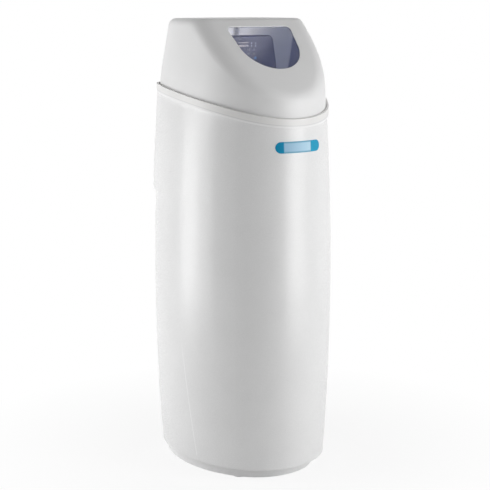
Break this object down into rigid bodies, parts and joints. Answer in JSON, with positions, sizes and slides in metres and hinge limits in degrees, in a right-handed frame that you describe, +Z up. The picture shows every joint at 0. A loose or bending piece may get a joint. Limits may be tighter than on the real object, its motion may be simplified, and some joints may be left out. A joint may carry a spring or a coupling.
{
  "type": "cabinet water softener",
  "caption": "Barrel-shaped brine cabinet with a lift-off sloping hood over a pressure vessel and a gear-driven control valve, for softening household water.",
  "frame": {"origin": "on the floor, on the underside of the middle foot pad, under the middle of the hood's lower edge", "axes": "+Z up; +Y from the front, where the window is, to the back, where the pipes leave; +X to the right of someone who faces the front"},
  "size_m": [0.4174, 0.4947, 1.13],
  "materials": {
    "tank_plastic": "satin",
    "collar_plastic": "satin",
    "hood_plastic": "satin",
    "window_plastic": "clear tinted",
    "label_film": "gloss",
    "foot_plastic": "satin",
    "vessel_shell": "satin",
    "boot_plastic": "matte",
    "pipe_plastic": "satin",
    "basket_plastic": "satin",
    "resin": "beads",
    "valve_plastic": "satin",
    "seal_rubber": "matte",
    "piston_plastic": "satin",
    "gear_plastic": "satin",
    "bracket_plastic": "satin",
    "motor_steel": "brushed",
    "board": "satin",
    "cover_plastic": "satin",
    "display_plastic": "satin",
    "display_glass": "gloss",
    "key_plastic": "satin",
    "light_plastic": "clear",
    "inlet_plastic": "satin",
    "lever_plastic": "satin",
    "fitting_brass": "machined",
    "well_plastic": "satin",
    "float_plastic": "satin",
    "overflow_plastic": "satin"
  },
  "bodies": {
    "cabinet": {"air_check": "basket_plastic", "bracket_screws": "motor_steel", "brine_pickup": "pipe_plastic", "brine_tube": "pipe_plastic", "brine_well": "well_plastic", "bypass_body": "valve_plastic", "cabinet_body": "tank_plastic", "circuit_board": "board", "display_lens": "display_glass", "display_module": "display_plastic", "drain_elbow": "valve_plastic", "drive_bracket": "bracket_plastic", "drive_cap": "valve_plastic", "drive_motor": "motor_steel", "float_valve": "well_plastic", "foot_pads": "foot_plastic", "front_label": "label_film", "injector": "piston_plastic", "injector_cap": "valve_plastic", "lower_basket": "basket_plastic", "overflow_elbow": "overflow_plastic", "overflow_nut": "overflow_plastic", "pipe_adapters": "fitting_brass", "power_inlet": "inlet_plastic", "pressure_vessel": "vessel_shell", "refill_elbow": "valve_plastic", "resin_bed": "resin", "rim_collar": "collar_plastic", "riser_tube": "pipe_plastic", "seal_stack": "seal_rubber", "status_lights": "light_plastic", "union_nuts": "valve_plastic", "upper_basket": "basket_plastic", "valve_body": "valve_plastic", "valve_cover": "cover_plastic", "vessel_boot": "boot_plastic"},
    "hood": {"hood": "hood_plastic", "window_lens": "window_plastic"},
    "main_gear": {"main_gear": "gear_plastic"},
    "piston": {"piston": "piston_plastic"},
    "idler": {"idler_gear": "gear_plastic"},
    "motor_pinion": {"motor_pinion": "gear_plastic"},
    "outlet_lever": {"outlet_lever": "lever_plastic"},
    "inlet_lever": {"inlet_lever": "lever_plastic"},
    "well_cap": {"well_cap": "well_plastic"},
    "brine_float": {"brine_float": "float_plastic"},
    "key_1": {"key_1": "key_plastic"},
    "key_2": {"key_2": "key_plastic"},
    "key_3": {"key_3": "key_plastic"},
    "key_4": {"key_4": "key_plastic"},
    "regenerate_key": {"regenerate_key": "key_plastic"}
  },
  "joints": [
    {"name": "hood_lift", "type": "slide", "parent": "cabinet", "child": "hood", "axis": [0, 0, 1], "range_m": [0, 0.24]},
    {"name": "gear_turn", "type": "hinge", "parent": "cabinet", "child": "main_gear", "pos_m": [0, 0.02, 0.985], "axis": [0, -1, 0], "range_deg": [0, 720]},
    {"name": "piston_slide", "type": "slide", "parent": "cabinet", "child": "piston", "axis": [0, 1, 0], "range_m": [0, 0.0241]},
    {"name": "idler_turn", "type": "hinge", "parent": "cabinet", "child": "idler", "pos_m": [-0.0195, 0.02, 1.01877], "axis": [0, -1, 0], "range_deg": [-3961, 0]},
    {"name": "motor_turn", "type": "hinge", "parent": "cabinet", "child": "motor_pinion", "pos_m": [-0.04268, 0.013, 1.02499], "axis": [0, -1, 0], "range_deg": [0, 11881]},
    {"name": "key_1_press", "type": "slide", "parent": "cabinet", "child": "key_1", "axis": [0, 1, 0], "range_m": [0, 0.0008], "stiffness_N_per_m": 400, "springref_m": -0.001},
    {"name": "key_2_press", "type": "slide", "parent": "cabinet", "child": "key_2", "axis": [0, 1, 0], "range_m": [0, 0.0008], "stiffness_N_per_m": 400, "springref_m": -0.001},
    {"name": "key_3_press", "type": "slide", "parent": "cabinet", "child": "key_3", "axis": [0, 1, 0], "range_m": [0, 0.0008], "stiffness_N_per_m": 400, "springref_m": -0.001},
    {"name": "key_4_press", "type": "slide", "parent": "cabinet", "child": "key_4", "axis": [0, 1, 0], "range_m": [0, 0.0008], "stiffness_N_per_m": 400, "springref_m": -0.001},
    {"name": "regenerate_key_press", "type": "slide", "parent": "cabinet", "child": "regenerate_key", "axis": [0, 1, 0], "range_m": [0, 0.0008], "stiffness_N_per_m": 400, "springref_m": -0.001},
    {"name": "outlet_lever_turn", "type": "hinge", "parent": "cabinet", "child": "outlet_lever", "pos_m": [-0.04, 0.172, 0.97], "axis": [0, 0, 1], "range_deg": [0, 90]},
    {"name": "inlet_lever_turn", "type": "hinge", "parent": "cabinet", "child": "inlet_lever", "pos_m": [0.04, 0.172, 0.97], "axis": [0, 0, 1], "range_deg": [0, 90]},
    {"name": "cap_lift", "type": "slide", "parent": "cabinet", "child": "well_cap", "axis": [0, 0, 1], "range_m": [0, 0.06]},
    {"name": "float_rise", "type": "slide", "parent": "cabinet", "child": "brine_float", "axis": [0, 0, 1], "range_m": [0, 0.03]}
  ],
  "couplings": [
    {"joint": "piston_slide", "follows": "gear_turn", "m_per_rad": 0.0019099},
    {"joint": "idler_turn", "follows": "gear_turn", "ratio": -5.5},
    {"joint": "motor_turn", "follows": "gear_turn", "ratio": 16.5}
  ]
}
